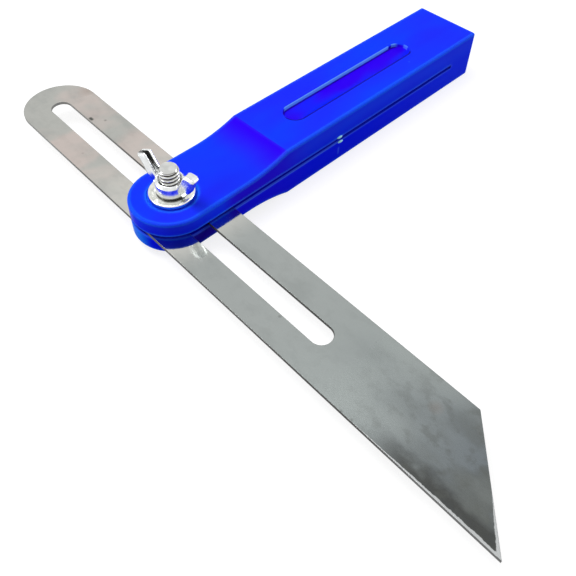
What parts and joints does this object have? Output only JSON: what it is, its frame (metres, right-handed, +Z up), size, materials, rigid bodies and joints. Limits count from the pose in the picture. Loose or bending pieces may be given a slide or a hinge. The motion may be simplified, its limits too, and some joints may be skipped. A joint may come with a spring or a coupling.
{
  "type": "sliding t-bevel",
  "caption": "Sliding t-bevel: slotted steel blade with an angled tip, clamped in a blue plastic handle by a bolt, washer and wing nut.",
  "frame": {"origin": "on the bolt's axis, about which the blade swings, in the plane that the tool rests on (the flat middle of the bolt head's crown)", "axes": "+Z up along the bolt towards the wing nut, +X along the handle from the pivot to its rear end, +Y to the side where the blade's round end lies at rest"},
  "size_m": [0.1503, 0.2063, 0.0265],
  "materials": {
    "blue_plastic": "glossy injection-moulded royal blue plastic, slightly translucent",
    "blade_steel": "bright cold-rolled steel sheet, fine lengthwise grain, ground edge",
    "bolt_zinc": "bright zinc plating",
    "washer_zinc": "bright zinc plating",
    "nut_zinc": "bright zinc plating"
  },
  "bodies": {
    "handle": {"handle": "blue_plastic"},
    "bolt": {"carriage_bolt": "bolt_zinc"},
    "blade": {"blade": "blade_steel"},
    "washer": {"washer": "washer_zinc"},
    "wing_nut": {"wing_nut": "nut_zinc"}
  },
  "joints": [
    {"name": "blade_swing", "type": "hinge", "parent": "handle", "child": "bolt", "pos_m": [0, 0, 0.0086], "axis": [0, 0, 1], "range_deg": [-255, 79]},
    {"name": "blade_slide", "type": "slide", "parent": "bolt", "child": "blade", "axis": [-0.0349, -0.9994, 0], "range_m": [-0.042, 0.061]},
    {"name": "nut_lift", "type": "slide", "parent": "bolt", "child": "washer", "axis": [0, 0, 1], "range_m": [0, 0.00127]},
    {"name": "nut_spin", "type": "hinge", "parent": "washer", "child": "wing_nut", "pos_m": [0, 0, 0.01595], "axis": [0, 0, 1], "range_deg": [0, 360]}
  ],
  "couplings": [
    {"joint": "nut_spin", "follows": "nut_lift", "rad_per_m": 4947}
  ]
}
